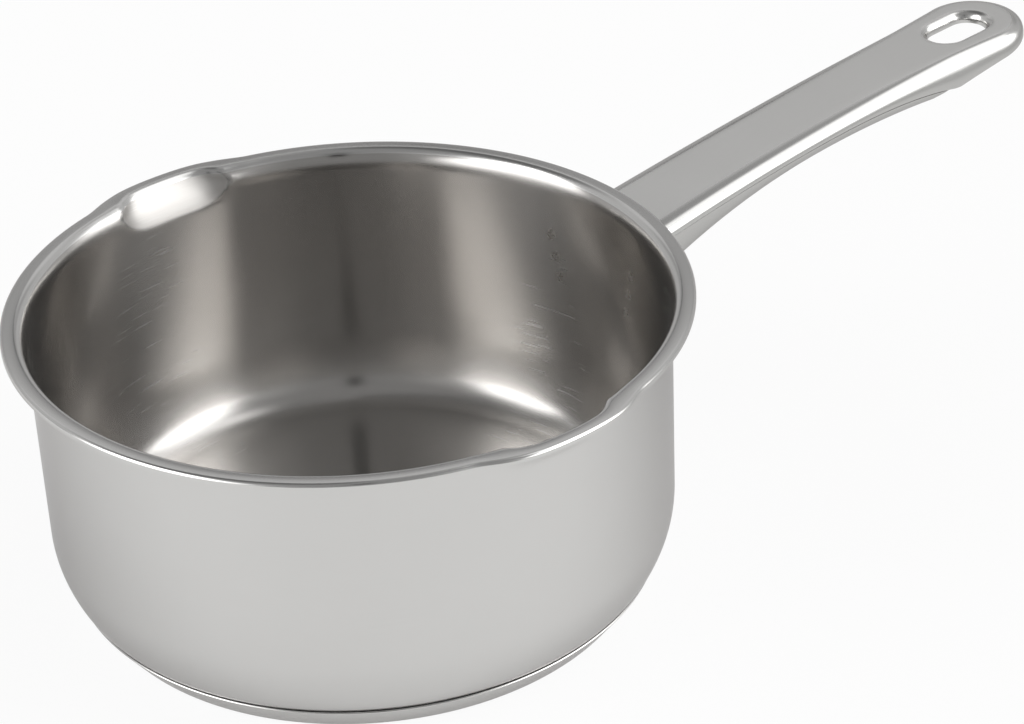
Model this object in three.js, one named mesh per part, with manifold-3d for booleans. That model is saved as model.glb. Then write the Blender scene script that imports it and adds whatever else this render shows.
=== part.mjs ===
// Stainless steel saucepan: a drawn vessel with two pouring lips, a sandwich base and a hollow handle.
// Millimetres, +Z up. The origin is the centre of the base on the hob, the handle runs along +X,
// and the pouring lips face +Y and -Y.
import * as THREE from "three";
import { mergeVertices } from "three/addons/utils/BufferGeometryUtils.js";
import Module from "manifold-3d";

const wasm = await Module();
wasm.setup();

// Vessel
const insideDiameter = 160;
const vesselSheet = 0.6;
const panHeight = 79.5;
const sweepRadius = 28; // outside of the rounded lower wall
const sweepHeight = 23; // where the wall starts to round in, above the hob
const kneeRadius = 11.5; // outside of the tighter turn into the floor

// Rim
const rimOverhang = 5.9; // from the outside of the wall to the rim's edge
const rimBendReach = 3.2; // upper side of the turn from wall to rim, across
const rimBendDrop = 6; // and down
const rimEdgeRadius = 0.95; // upper side of the turned-down edge
const rimEdgeHeight = 1.5;

// Pouring lips
const lipReach = 2.7; // beyond the rim's edge
const lipWidth = 52; // along the rim
const pocketHollow = 3.2; // how far the wall is pressed out under the rim
const pocketWidth = 38; // along the rim
const pocketDepth = 9.8; // below the rim's top
const pocketPower = 1.6; // higher is flatter in the middle and steeper at the edge

// Base
const footInset = 10.7; // from the outside of the wall to the edge of the flat foot
const capsuleSheet = 0.5;
const capsuleHeight = 7.7;
const capsuleCornerRadius = 2;
const capsuleGap = 0.2; // between the capsule's top edge and the vessel
const spreaderThickness = 3;
const spreaderEdgeRise = 1; // of the spreader's upturned edge
const brazeThickness = 0.3;

// Handle
const handleLength = 157.45; // from the wall to the tip
const handleRootDrop = 11.8; // of the handle's top at the wall, below the rim's top
const handleRise = 18.29; // of the handle's top, from the wall to the tip
const handleArchRadius = 1152;
const handleSheet = 0.8;
const handleEdgeWidth = 5; // of the rounded edge beside the flat top
const waistDistance = 67.6; // of the narrowest place, from the wall
const handleWidthRoot = 29.5;
const handleWidthWaist = 27;
const handleWidthHead = 31;
const headPower = 2.4; // higher widens later towards the head
const handleNose = 15.8; // length of the head's rounded end
const skirtDepthRoot = 3.7; // of the upper shell's side below the flat top
const skirtDepthHead = 9;
const skirtDepthTip = 3.8;
const skirtPower = 6; // higher deepens later towards the head
const trayTipDistance = 34.7; // from the lower shell's end to the handle's tip
const trayNose = 6; // length of the lower shell's rounded end
const trayDepthRoot = 17.5; // of the lower shell's underside below the flat top
const trayDepthWaist = 7.3;
const trayDepthEnd = 10.7;
const trayPower = 1.8; // higher deepens later towards the end
const trayEdgeWidth = 3; // of the rounded edge beside the flat underside
const trayStep = 0.15; // how far the lower shell stands proud of the upper one
const handleSeamGap = 0.2;

// Hanging slot
const slotTipDistance = 20.85; // from the slot's centre to the handle's tip
const slotLength = 19.4;
const slotWidth = 11.3;
const slotEdgeRadius = 2.4; // rolled upper edge
const slotCollarDepth = 3.2; // of the rolled-down collar below the flat top

// Root plate and its welds
const plateThickness = 1.2;
const plateGap = 0.3; // between the plate and its neighbours
const plateTopDrop = 1; // below the handle's top at the wall
const plateHeight = 22.5;
const plateWidthTop = 43.7;
const plateWidthBottom = 33.7;
const plateCornerRadius = 4;
const weldRadius = 2;
const weldClearance = 0.2;
const weldSeat = 0.1;
const weldTopDrop = 6.1; // of the top pair, below the handle's top at the wall
const weldRows = 3;
const weldPitch = 6.1;
const weldInset = 4; // from the plate's sides

// Fineness of the facets
const roundSegments = 72;
const arcSteps = 4;
const lipSteps = 4;
const handleSteps = 14;
const noseSteps = 9;
const slotSteps = 5;
const weldSegments = 16;
const cutterReach = 3; // how far a cutter, or a blank that is cut back, runs on

// Places that follow from the sizes above
const wallRadius = insideDiameter / 2 + vesselSheet;
const rimRadius = wallRadius + rimOverhang;
const footRadius = wallRadius - footInset;
const spreaderBottom = capsuleSheet + brazeThickness;
const spreaderTop = spreaderBottom + spreaderThickness;
const floorUnderside = spreaderTop + brazeThickness;
const tipX = wallRadius + handleLength;
const waistX = wallRadius + waistDistance;
const headX = tipX - handleNose;
const trayEndX = tipX - trayTipDistance;
const slotX = tipX - slotTipDistance;
const handleRootTop = panHeight - handleRootDrop;
const plateInside = wallRadius + plateGap;
const plateOutside = plateInside + plateThickness;

// Finishes
const polishedSteel = { color: 0xc2c1be, roughness: 0.22, metalness: 1 };
const satinSteel = { color: 0xb2b1ad, roughness: 0.38, metalness: 1 };
const rawAluminium = { color: 0xc8c9cb, roughness: 0.5, metalness: 1 };
const brazeMetal = { color: 0xb3b2ae, roughness: 0.6, metalness: 1 };

// Geometry helpers

function square(value) {
  return value * value;
}

// Points on an arc about (x, z), from one angle to another, ends included.
// A rise other than the radius makes it part of an ellipse.
function arc(x, z, radius, from, to, rise = radius) {
  const points = [];
  for (let i = 0; i <= arcSteps; i++) {
    const angle = from + ((to - from) * i) / arcSteps;
    points.push(new THREE.Vector2(x + radius * Math.cos(angle), z + rise * Math.sin(angle)));
  }
  return points;
}

// Solid of revolution about Z from a profile of (radius, height) points.
function turned(profile) {
  return new THREE.LatheGeometry(profile, roundSegments).rotateX(Math.PI / 2);
}

// Closed solid through a stack of rings, from the lowest to the highest.
// Each ring runs anticlockwise, is its own mirror image in y, and starts at its lowest x.
function loft(rings) {
  const count = rings[0].length;
  const positions = rings.flat().flatMap((point) => point.toArray());
  const triangles = [];
  for (let level = 0; level + 1 < rings.length; level++) {
    for (let i = 0; i < count; i++) {
      const next = (i + 1) % count;
      const low = level * count;
      const high = low + count;
      triangles.push(low + i, low + next, high + next, low + i, high + next, high + i);
    }
  }
  const top = (rings.length - 1) * count;
  for (let i = 0; i < count / 2 - 1; i++) {
    const mirror = count - 1 - i;
    triangles.push(i, mirror - 1, i + 1, i, mirror, mirror - 1);
    triangles.push(top + i, top + i + 1, top + mirror - 1, top + i, top + mirror - 1, top + mirror);
  }
  const geometry = new THREE.BufferGeometry();
  geometry.setAttribute("position", new THREE.Float32BufferAttribute(positions, 3));
  geometry.setIndex(triangles);
  return geometry;
}

function solid(geometry) {
  const bare = geometry.clone();
  bare.deleteAttribute("normal");
  bare.deleteAttribute("uv");
  const merged = mergeVertices(bare);
  const vertProperties = new Float32Array(merged.attributes.position.array);
  const triVerts = new Uint32Array(merged.index.array);
  return new wasm.Manifold(new wasm.Mesh({ numProp: 3, vertProperties, triVerts }));
}

function geometryOf(shape) {
  const { vertProperties, triVerts } = shape.getMesh();
  const geometry = new THREE.BufferGeometry();
  geometry.setAttribute("position", new THREE.Float32BufferAttribute(vertProperties, 3));
  geometry.setIndex(Array.from(triVerts));
  geometry.computeVertexNormals();
  return geometry;
}

function piece(name, geometry, finish) {
  const mesh = new THREE.Mesh(geometry, new THREE.MeshStandardMaterial(finish));
  mesh.name = name;
  return mesh;
}

// Vessel

const kneeRise = floorUnderside + kneeRadius - sweepHeight;
const sweepX = wallRadius - sweepRadius;
const kneeX = sweepX + Math.sqrt(square(sweepRadius - kneeRadius) - square(kneeRise));
const kneeAngle = Math.atan2(kneeRise, kneeX - sweepX);

// One side of the vessel's sheet, from the centre of the floor to the rim's edge.
// An offset of 0 is the outside, and of vesselSheet the inside.
function vesselSide(offset) {
  const wall = [];
  for (let i = 0; i < lipSteps; i++) {
    const drop = pocketDepth + ((rimBendDrop - pocketDepth) * i) / lipSteps;
    wall.push(new THREE.Vector2(wallRadius - offset, panHeight - drop));
  }
  const under = vesselSheet - offset;
  const edge = rimEdgeRadius - under;
  const bendX = wallRadius - vesselSheet + rimBendReach;
  const bendZ = panHeight - rimBendDrop;
  const edgeX = rimRadius - rimEdgeRadius;
  return [
    new THREE.Vector2(0, floorUnderside + offset),
    ...arc(kneeX, floorUnderside + kneeRadius, kneeRadius - offset, -Math.PI / 2, kneeAngle),
    ...arc(sweepX, sweepHeight, sweepRadius - offset, kneeAngle, 0).slice(1),
    ...wall,
    ...arc(bendX, bendZ, rimBendReach - under, Math.PI, Math.PI / 2, rimBendDrop - under),
    ...arc(edgeX, panHeight - rimEdgeRadius, edge, Math.PI / 2, 0),
    new THREE.Vector2(edgeX + edge, panHeight - rimEdgeHeight),
  ];
}

// Outside radius of the vessel's knee at a height.
function kneeRadiusAt(height) {
  return kneeX + Math.sqrt(square(kneeRadius) - square(floorUnderside + kneeRadius - height));
}

// Presses the two pouring lips: the rim bulges out, over an oval pocket in the wall.
function pressLips(geometry) {
  const position = geometry.attributes.position;
  const point = new THREE.Vector3();
  for (let i = 0; i < position.count; i++) {
    point.fromBufferAttribute(position, i);
    const radius = Math.hypot(point.x, point.y);
    const aside = Math.abs(Math.atan2(point.x, Math.abs(point.y))) * rimRadius;
    const spread = THREE.MathUtils.clamp(aside / (lipWidth / 2), 0, 1);
    const bulge = lipReach * square(1 - square(square(spread)));
    const ovalX = aside / (pocketWidth / 2);
    const ovalZ = (panHeight - point.z) / pocketDepth;
    const pocket = pocketHollow * (1 - Math.min(Math.hypot(ovalX, ovalZ), 1) ** pocketPower);
    const outward = THREE.MathUtils.clamp((radius - wallRadius) / rimOverhang, 0, 1);
    const grow = radius > 0 ? 1 + THREE.MathUtils.lerp(pocket, bulge, outward) / radius : 1;
    position.setXYZ(i, point.x * grow, point.y * grow, point.z);
  }
  return geometry;
}

function panBody() {
  const profile = [...vesselSide(vesselSheet), ...vesselSide(0).reverse()];
  return pressLips(turned(profile.reverse()));
}

// Base

const capsuleTopRadius = kneeRadiusAt(capsuleHeight) + capsuleGap;
const capsuleTopX = capsuleTopRadius - footRadius;
const capsuleTopZ = capsuleHeight - capsuleCornerRadius;
const capsuleInnerRadius = capsuleCornerRadius - capsuleSheet;
const capsuleTopReach = Math.hypot(capsuleTopX, capsuleTopZ);
const capsuleLean =
  Math.acos(capsuleInnerRadius / capsuleTopReach) - Math.atan2(capsuleTopZ, capsuleTopX);

// Point on a line beside the capsule's leaning wall, at a distance from the corner's centre.
function leaningPoint(distance, height) {
  const rise = height - capsuleCornerRadius;
  const radius = footRadius + (distance + rise * Math.sin(capsuleLean)) / Math.cos(capsuleLean);
  return new THREE.Vector2(radius, height);
}

function baseCorner(radius) {
  return arc(footRadius, capsuleCornerRadius, radius, -Math.PI / 2, -capsuleLean);
}

function baseCapsule() {
  const inside = leaningPoint(capsuleInnerRadius, capsuleHeight);
  const outside = new THREE.Vector2(
    inside.x + capsuleSheet * Math.cos(capsuleLean),
    inside.y - capsuleSheet * Math.sin(capsuleLean),
  );
  return turned([
    new THREE.Vector2(0, 0),
    ...baseCorner(capsuleCornerRadius),
    outside,
    inside,
    ...baseCorner(capsuleInnerRadius).reverse(),
    new THREE.Vector2(0, capsuleSheet),
  ]);
}

function heatSpreaderDisc() {
  const edge = capsuleInnerRadius - brazeThickness;
  const edgeTop = spreaderTop + spreaderEdgeRise;
  const kneeZ = floorUnderside + kneeRadius;
  const kneeReach = kneeRadius + brazeThickness;
  const edgeAngle = Math.asin((edgeTop - kneeZ) / kneeReach);
  return turned([
    new THREE.Vector2(0, spreaderBottom),
    ...baseCorner(edge),
    leaningPoint(edge, edgeTop),
    ...arc(kneeX, kneeZ, kneeReach, edgeAngle, -Math.PI / 2),
    new THREE.Vector2(0, spreaderTop),
  ]);
}

function brazeLayer(radius, bottom) {
  return turned([
    new THREE.Vector2(0, bottom),
    new THREE.Vector2(radius, bottom),
    new THREE.Vector2(radius, bottom + brazeThickness),
    new THREE.Vector2(0, bottom + brazeThickness),
  ]);
}

// Handle

// Height of the handle's flat top: an arch that rises from the wall to the tip.
function topLine(x) {
  const out = x - wallRadius;
  const slope = handleRise / handleLength + handleLength / (2 * handleArchRadius);
  return handleRootTop + slope * out - square(out) / (2 * handleArchRadius);
}

// A size that changes smoothly from the root to the waist and on to an end.
function waisted(x, root, waist, end, endX, power) {
  return x < waistX
    ? waist + (root - waist) * square((waistX - x) / (waistX - wallRadius))
    : waist + (end - waist) * ((x - waistX) / (endX - waistX)) ** power;
}

function halfWidth(x) {
  return waisted(x, handleWidthRoot, handleWidthWaist, handleWidthHead, headX, headPower) / 2;
}

function skirtDepth(x) {
  if (x < trayEndX) {
    const share = (x - wallRadius) / (trayEndX - wallRadius);
    return THREE.MathUtils.lerp(skirtDepthRoot, skirtDepthHead, share ** skirtPower);
  }
  return THREE.MathUtils.lerp(skirtDepthHead, skirtDepthTip, (x - trayEndX) / (tipX - trayEndX));
}

function trayDepth(x) {
  return waisted(x, trayDepthRoot, trayDepthWaist, trayDepthEnd, trayEndX, trayPower);
}

// Ring through points on the -y side and their mirror images, below the handle's top line.
function mirroredRing(side, depth) {
  const near = side.map((p) => new THREE.Vector3(p.x, p.y, topLine(p.x) - depth(p.x)));
  const far = near.map((p) => new THREE.Vector3(p.x, -p.y, p.z));
  return [...near, ...far.reverse()];
}

// Ring inside the handle's outline by an inset, and below its top line by a depth at each x.
// Its sides run out from inside the wall to sideEnd, and a rounded nose closes it.
function handleRing(sideEnd, nose, inset, depth) {
  const side = [];
  const start = wallRadius - cutterReach;
  for (let i = 0; i <= handleSteps; i++) {
    const x = start + ((sideEnd - start) * i) / handleSteps;
    side.push(new THREE.Vector2(x, inset - halfWidth(x)));
  }
  for (let i = 1; i < noseSteps / 2; i++) {
    const angle = (Math.PI * i) / noseSteps;
    const x = sideEnd + (nose - inset) * Math.sin(angle);
    side.push(new THREE.Vector2(x, (inset - halfWidth(sideEnd)) * Math.cos(angle)));
  }
  return mirroredRing(side, depth);
}

// Ring round the hanging slot, moved outwards by an offset and lowered by a depth.
function slotRing(offset, depth) {
  const start = [];
  const radius = slotWidth / 2 + offset;
  const straight = (slotLength - slotWidth) / 2;
  for (let i = 1; i <= slotSteps; i++) {
    const angle = ((Math.PI / 2) * (2 * i - 1)) / (2 * slotSteps - 1);
    start.push(new THREE.Vector2(straight + radius * Math.cos(angle), -radius * Math.sin(angle)));
  }
  const rootEnd = start.map((p) => new THREE.Vector2(slotX - p.x, p.y));
  const tipEnd = start.map((p) => new THREE.Vector2(slotX + p.x, p.y));
  return mirroredRing([...rootEnd, ...tipEnd.reverse()], () => depth);
}

// What the handle's root is cut back to, so that it seats on the root plate.
function rootCutter() {
  const radius = plateOutside + plateGap;
  return solid(
    turned([
      new THREE.Vector2(0, 0),
      new THREE.Vector2(radius, 0),
      new THREE.Vector2(radius, panHeight),
      new THREE.Vector2(0, panHeight),
    ]),
  );
}

// Rings over the upper shell's rounded edge, from the skirt's foot to the flat top.
// A sheet of 0 is the outside, and of handleSheet the hollow.
function upperRings(sheet) {
  return arc(0, 0, 1, 0, Math.PI / 2).map((p) => {
    const inset = handleEdgeWidth - (handleEdgeWidth - sheet) * p.x;
    return handleRing(headX, handleNose, inset, (x) => skirtDepth(x) - (skirtDepth(x) - sheet) * p.y);
  });
}

// Rings over the slot's rolled edge, from its foot to the flat top.
function rolledRings(sheet) {
  const radius = slotEdgeRadius - sheet;
  return arc(0, 0, radius, 0, Math.PI / 2).map((p) => slotRing(slotEdgeRadius - p.x, slotEdgeRadius - p.y));
}

function handleUpperShell() {
  const below = (x) => skirtDepth(x) + cutterReach;
  const outside = solid(loft(upperRings(0)));
  const hollow = solid(
    loft([handleRing(headX, handleNose, handleSheet, below), ...upperRings(handleSheet)]),
  );
  const collar = solid(
    loft([
      slotRing(handleSheet, slotCollarDepth),
      ...rolledRings(handleSheet),
      slotRing(slotEdgeRadius, handleSheet / 2),
    ]),
  );
  const opening = solid(
    loft([
      slotRing(0, slotCollarDepth + cutterReach),
      ...rolledRings(0),
      slotRing(slotEdgeRadius, -cutterReach),
    ]),
  );
  return geometryOf(outside.subtract(hollow).add(collar).subtract(opening).subtract(rootCutter()));
}

// Block with the lower shell's rounded underside: its outside, or with the sheet taken off, its hollow.
function lowerBlock(sheet, topDepth) {
  const rounded = arc(0, 0, 1, -Math.PI / 2, 0).map((p) => {
    const inset = trayEdgeWidth - trayStep - (trayEdgeWidth - sheet) * p.x;
    return handleRing(trayEndX - trayNose, trayNose, inset, (x) => {
      const top = topDepth(x);
      return top - (trayDepth(x) - sheet - top) * p.y;
    });
  });
  return solid(loft(rounded));
}

function handleLowerShell() {
  const seam = (x) => skirtDepth(x) + handleSeamGap;
  const outside = lowerBlock(0, seam);
  const hollow = lowerBlock(handleSheet, (x) => seam(x) - cutterReach);
  return geometryOf(outside.subtract(hollow).subtract(rootCutter()));
}

// Root plate and its welds

// Each weld's angle round the wall and height, column by column from the top.
function weldPlaces() {
  const places = [];
  for (const side of [-1, 1]) {
    for (let row = 0; row < weldRows; row++) {
      const drop = weldTopDrop + row * weldPitch;
      const share = (drop - plateTopDrop) / plateHeight;
      const reach = THREE.MathUtils.lerp(plateWidthTop, plateWidthBottom, share) / 2 - weldInset;
      places.push({ angle: side * Math.asin(reach / plateOutside), height: handleRootTop - drop });
    }
  }
  return places;
}

// Round bar along +X from one distance to another.
function radialBar(radius, from, to) {
  const bar = new THREE.CylinderGeometry(radius, radius, to - from, weldSegments);
  return bar.rotateZ(-Math.PI / 2).translate((from + to) / 2, 0, 0);
}

// Outline of the plate, seen along the handle: wider at its top, with rounded corners.
function plateOutline() {
  const top = handleRootTop - plateTopDrop;
  const corners = [
    new THREE.Vector2(-plateWidthBottom / 2, top - plateHeight),
    new THREE.Vector2(plateWidthBottom / 2, top - plateHeight),
    new THREE.Vector2(plateWidthTop / 2, top),
    new THREE.Vector2(-plateWidthTop / 2, top),
  ];
  const shape = new THREE.Shape();
  corners.forEach((corner, i) => {
    const before = corners[(i + corners.length - 1) % corners.length];
    const after = corners[(i + 1) % corners.length];
    const into = before.clone().sub(corner).setLength(plateCornerRadius).add(corner);
    const out = after.clone().sub(corner).setLength(plateCornerRadius).add(corner);
    if (i === 0) shape.moveTo(into.x, into.y);
    else shape.lineTo(into.x, into.y);
    shape.quadraticCurveTo(corner.x, corner.y, out.x, out.y);
  });
  return shape;
}

function handleRootPlate() {
  const ring = turned([
    new THREE.Vector2(plateInside, 0),
    new THREE.Vector2(plateOutside, 0),
    new THREE.Vector2(plateOutside, panHeight),
    new THREE.Vector2(plateInside, panHeight),
    new THREE.Vector2(plateInside, 0),
  ]);
  const prism = new THREE.ExtrudeGeometry(plateOutline(), {
    depth: plateOutside + cutterReach,
    bevelEnabled: false,
    curveSegments: arcSteps,
  });
  // The outline's x and y become the part's y and z, and its depth runs along +X.
  prism.rotateX(Math.PI / 2).rotateZ(Math.PI / 2);
  const holes = weldPlaces().map(({ angle, height }) => {
    const bar = radialBar(weldRadius + weldClearance, wallRadius - cutterReach, plateOutside + cutterReach);
    return solid(bar.rotateZ(angle).translate(0, 0, height));
  });
  const blank = solid(ring).intersect(solid(prism));
  return geometryOf(holes.reduce((plate, hole) => plate.subtract(hole), blank));
}

// Assembly

const saucepan = new THREE.Group();
saucepan.add(
  piece("pan_body", panBody(), polishedSteel),
  piece("base_capsule", baseCapsule(), polishedSteel),
  piece("heat_spreader_disc", heatSpreaderDisc(), rawAluminium),
  piece("lower_braze_layer", brazeLayer(footRadius, capsuleSheet), brazeMetal),
  piece("upper_braze_layer", brazeLayer(kneeX, spreaderTop), brazeMetal),
  piece("handle_upper_shell", handleUpperShell(), satinSteel),
  piece("handle_lower_shell", handleLowerShell(), satinSteel),
  piece("handle_root_plate", handleRootPlate(), satinSteel),
);
weldPlaces().forEach(({ angle, height }, i) => {
  const weld = piece(
    `spot_weld_${i + 1}`,
    radialBar(weldRadius, wallRadius + weldSeat, plateOutside),
    satinSteel,
  );
  weld.rotation.z = angle;
  weld.position.z = height;
  saucepan.add(weld);
});

export default saucepan;
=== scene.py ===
import bmesh
import bpy
import math
from mathutils import Matrix, Vector


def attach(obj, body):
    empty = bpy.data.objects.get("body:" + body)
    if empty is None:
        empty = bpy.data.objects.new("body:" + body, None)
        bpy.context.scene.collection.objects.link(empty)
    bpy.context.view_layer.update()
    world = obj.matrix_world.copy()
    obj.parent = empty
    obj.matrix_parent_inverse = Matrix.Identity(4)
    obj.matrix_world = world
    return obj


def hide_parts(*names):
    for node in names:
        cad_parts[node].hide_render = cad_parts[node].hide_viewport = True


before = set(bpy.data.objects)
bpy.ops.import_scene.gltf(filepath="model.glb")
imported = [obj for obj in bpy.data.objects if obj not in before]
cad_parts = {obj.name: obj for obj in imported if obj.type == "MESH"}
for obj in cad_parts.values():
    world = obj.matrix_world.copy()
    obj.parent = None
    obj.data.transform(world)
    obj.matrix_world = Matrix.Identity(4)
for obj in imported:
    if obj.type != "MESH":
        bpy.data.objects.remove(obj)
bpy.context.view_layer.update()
scene = bpy.context.scene
scene.view_settings.view_transform = "Standard"
mm = 0.001


# Node helper: wraps a socket, so that sums on sockets read as plain Python

class Wire:
    def __init__(self, tree, socket=None):
        self.tree = tree
        self.socket = socket

    def node(self, kind, settings=None, sockets=None, out=0):
        made = self.tree.nodes.new(kind)
        for key, value in (settings or {}).items():
            setattr(made, key, value)
        for key, value in (sockets or {}).items():
            if isinstance(value, Wire):
                self.tree.links.new(value.socket, made.inputs[key])
            else:
                made.inputs[key].default_value = value
        return Wire(self.tree, made.outputs[out])

    def math(self, operation, first, second=0.0):
        return self.node("ShaderNodeMath", {"operation": operation}, {0: first, 1: second})

    def __add__(self, other):
        return self.math("ADD", self, other)

    def __radd__(self, other):
        return self.math("ADD", other, self)

    def __sub__(self, other):
        return self.math("SUBTRACT", self, other)

    def __rsub__(self, other):
        return self.math("SUBTRACT", other, self)

    def __mul__(self, other):
        return self.math("MULTIPLY", self, other)

    def __rmul__(self, other):
        return self.math("MULTIPLY", other, self)

    def __truediv__(self, other):
        return self.math("DIVIDE", self, other)

    def __pow__(self, other):
        return self.math("POWER", self, other)

    def clamped(self):  # held between 0 and 1
        return self.node("ShaderNodeClamp", None, {"Value": self, "Min": 0.0, "Max": 1.0})

    def ease(self, low, high):  # 0 below low, 1 above high, smooth between
        return self.node("ShaderNodeMapRange", {"interpolation_type": "SMOOTHSTEP"},
                         {"Value": self, "From Min": low, "From Max": high})

    def between(self, low, high, soft):  # 1 from low to high, with soft ends
        return self.ease(low - soft, low + soft) * (1.0 - self.ease(high - soft, high + soft))

    def axes(self):
        parts = self.node("ShaderNodeSeparateXYZ", None, {0: self}).socket.node.outputs
        return [Wire(self.tree, part) for part in parts]

    def vector(self, x, y, z):
        return self.node("ShaderNodeCombineXYZ", None, {0: x, 1: y, 2: z})

    def blend(self, colourA, colourB):  # self is the share of colourB
        return self.node("ShaderNodeMix", {"data_type": "RGBA"}, {0: self, 6: colourA, 7: colourB}, 2)

    def noise(self, scale, detail=2.0, roughness=0.5):
        return self.node("ShaderNodeTexNoise", None,
                         {"Vector": self, "Scale": scale, "Detail": detail, "Roughness": roughness})


# Finishes

def newFinish(name, settings):
    material = bpy.data.materials.new(name)
    material.use_nodes = True
    shader = material.node_tree.nodes["Principled BSDF"]
    for key, value in settings.items():
        shader.inputs[key].default_value = value
    start = Wire(material.node_tree)
    place = start.node("ShaderNodeTexCoord", None, None, "Object")
    return material, shader, start, place


def feed(shader, **links):
    names = {"colour": "Base Color", "roughness": "Roughness", "normal": "Normal"}
    for key, wire in links.items():
        wire.tree.links.new(wire.socket, shader.inputs[names[key]])


def turnedLines(place, sweep, pitch, lean=0.0):
    # coordinates that run in circles round the pan's axis: long round it, short across it
    x, y, z = place.axes()
    reach = place.math("MAXIMUM", (x * x + y * y) ** 0.5, 1e-5)
    along = (z + reach) / pitch
    if lean:
        along = along + place.math("ARCTAN2", y, x) * lean
    return place.vector(x / reach * sweep, y / reach * sweep, along)


outsideFinish = {
    "colour": (0.705, 0.7, 0.69, 1), "colourWorn": (0.67, 0.664, 0.652, 1), "edgeTint": (0.74, 0.73, 0.73, 1),
    "roughness": 0.2, "roughnessVaries": 0.06, "roughnessHandled": 0.03, "anisotropic": 0.6,
    "linePitch": 0.35 * mm, "lineSweep": 3.0, "lineDepth": 0.02,
    "cloudScale": 26.0, "cloudShare": 0.7, "handledScale": 9.0,
}


def makeOutside():
    look = outsideFinish
    material, shader, start, place = newFinish("polishedOutside", {
        "Metallic": 1.0, "Specular Tint": look["edgeTint"],
        "Anisotropic": look["anisotropic"], "Anisotropic Rotation": 0.25})
    lines = turnedLines(place, look["lineSweep"], look["linePitch"]).noise(1.0, 3.0, 0.6)
    clouds = place.noise(look["cloudScale"], 3.0, 0.55)
    handled = place.noise(look["handledScale"], 2.0).ease(0.45, 0.7)
    rough = look["roughness"] + (lines - 0.5) * look["roughnessVaries"] + handled * look["roughnessHandled"]
    tint = (clouds * look["cloudShare"] + lines * (1.0 - look["cloudShare"])).clamped()
    bump = start.node("ShaderNodeBump", None, {
        "Strength": look["lineDepth"], "Distance": 0.05 * mm, "Height": lines})
    feed(shader, colour=tint.blend(look["colour"], look["colourWorn"]), roughness=rough, normal=bump)
    return material


insideFinish = {
    "colour": (0.552, 0.538, 0.521, 1), "colourDark": (0.532, 0.518, 0.501, 1),
    "colourScratch": (0.62, 0.61, 0.6, 1),
    "roughness": 0.16, "roughnessVaries": 0.03, "anisotropic": 0.88,
    "hazeShare": 0.1, "hazeShareVaries": 0.04, "hazeRoughness": 0.42, "hazeRoughnessVaries": 0.06,
    "hazeAnisotropic": 0.6,
    "cornerRoughness": 0.25, "cornerFrom": 7 * mm, "cornerTo": 25 * mm, "cornerSoft": 8 * mm,
    "rubbedRoughness": 0.25, "rubbedShare": 0.06,
    "rubbedPatches": ((5, 26), (87, 108)), "rubbedSoft": 14,  # in degrees round +z from +x
    "pressedRoughness": 0.52, "pressedShare": 0.85,
    "linePitch": 0.2 * mm, "lineSweep": 7.0, "lineDepth": 0.012,
    "scratchPitch": 0.8 * mm, "scratchSweep": 5.0, "scratchLean": 1.5, "patchScale": 24.0,
    "markShare": 0.03, "markShareRubbed": 0.22, "markTint": 0.2, "markTintRubbed": 0.8, "markDepth": 0.1,
}


def makeInside():
    # a crisp reflection under a haze that the fine brush lines and the scratches spread
    look = insideFinish
    material, crisp, start, place = newFinish("brushedInside", {
        "Metallic": 1.0, "Anisotropic": look["anisotropic"], "Anisotropic Rotation": 0.25})
    hazy = material.node_tree.nodes.new("ShaderNodeBsdfPrincipled")
    hazy.inputs["Metallic"].default_value = 1.0
    hazy.inputs["Anisotropic"].default_value = look["hazeAnisotropic"]
    hazy.inputs["Anisotropic Rotation"].default_value = 0.25
    lines = turnedLines(place, look["lineSweep"], look["linePitch"]).noise(1.0, 3.0, 0.65)
    scratches = turnedLines(place, look["scratchSweep"], look["scratchPitch"], look["scratchLean"])
    scratches = scratches.noise(1.0, 1.0, 0.5)
    patches = place.noise(look["patchScale"], 2.0).ease(0.42, 0.62)  # where stirring has marked the wall
    marks = scratches.ease(0.6, 0.72) * patches
    x, y, z = place.axes()
    bearing = place.math("ARCTAN2", y, x) * math.degrees(1)
    first, second = look["rubbedPatches"]  # two patches dulled by scouring
    rubbed = bearing.between(*first, look["rubbedSoft"]) + bearing.between(*second, look["rubbedSoft"])
    share = look["hazeShare"] + (lines - 0.5) * look["hazeShareVaries"] + rubbed * look["rubbedShare"]
    share = share + marks * (look["markShare"] + rubbed * look["markShareRubbed"])
    pressed = start.node("ShaderNodeAttribute", {"attribute_name": "pressed"}, None, "Fac").ease(0.0, 0.12)
    share = (share + pressed * (look["pressedShare"] - share)).clamped()  # a pressed lip is left dull
    # the polish is duller where the wall meets the floor
    corner = z.between(look["cornerFrom"], look["cornerTo"], look["cornerSoft"])
    dull = corner * (look["cornerRoughness"] - look["roughness"])
    dull = start.math("MAXIMUM", dull, rubbed * (look["rubbedRoughness"] - look["roughness"]))
    rough = look["roughness"] + dull + (lines - 0.5) * look["roughnessVaries"]
    roughHaze = look["hazeRoughness"] + pressed * (look["pressedRoughness"] - look["hazeRoughness"])
    roughHaze = roughHaze + (scratches - 0.5) * look["hazeRoughnessVaries"]
    bump = start.node("ShaderNodeBump", None, {
        "Strength": look["lineDepth"], "Distance": 0.05 * mm, "Height": lines + marks * look["markDepth"]})
    colour = lines.ease(0.3, 0.7).blend(look["colourDark"], look["colour"])
    tinted = (marks * (look["markTint"] + rubbed * look["markTintRubbed"])).clamped()
    colour = tinted.blend(colour, look["colourScratch"])
    feed(crisp, colour=colour, roughness=rough, normal=bump)
    feed(hazy, colour=colour, roughness=roughHaze, normal=bump)
    mixed = start.node("ShaderNodeMixShader", None, {
        0: share, 1: Wire(start.tree, crisp.outputs[0]), 2: Wire(start.tree, hazy.outputs[0])})
    start.tree.links.new(mixed.socket, start.tree.nodes["Material Output"].inputs["Surface"])
    return material


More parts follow.
